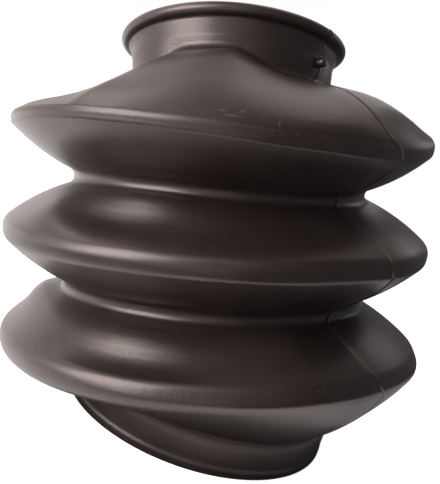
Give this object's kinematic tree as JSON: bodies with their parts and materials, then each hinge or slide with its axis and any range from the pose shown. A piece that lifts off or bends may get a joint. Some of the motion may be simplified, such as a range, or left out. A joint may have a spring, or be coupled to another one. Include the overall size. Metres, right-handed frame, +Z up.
{
  "type": "rubber bellows boot",
  "caption": "Hollow rubber bellows boot, bent to one side, with a wide plain cuff at its foot and a narrow cuff with a rolled bead on top",
  "frame": {"origin": "the centre of the lower cuff's rim, in the plane the boot stands on", "axes": "+Z runs up the lower cuff, +X is to the right and -Y is the front; the bellows lean to the left and to the back"},
  "size_m": [0.1506, 0.1462, 0.1335],
  "materials": {
    "rubber": "satin"
  },
  "bodies": {
    "root": {"bellows_boot": "rubber"}
  },
  "joints": []
}
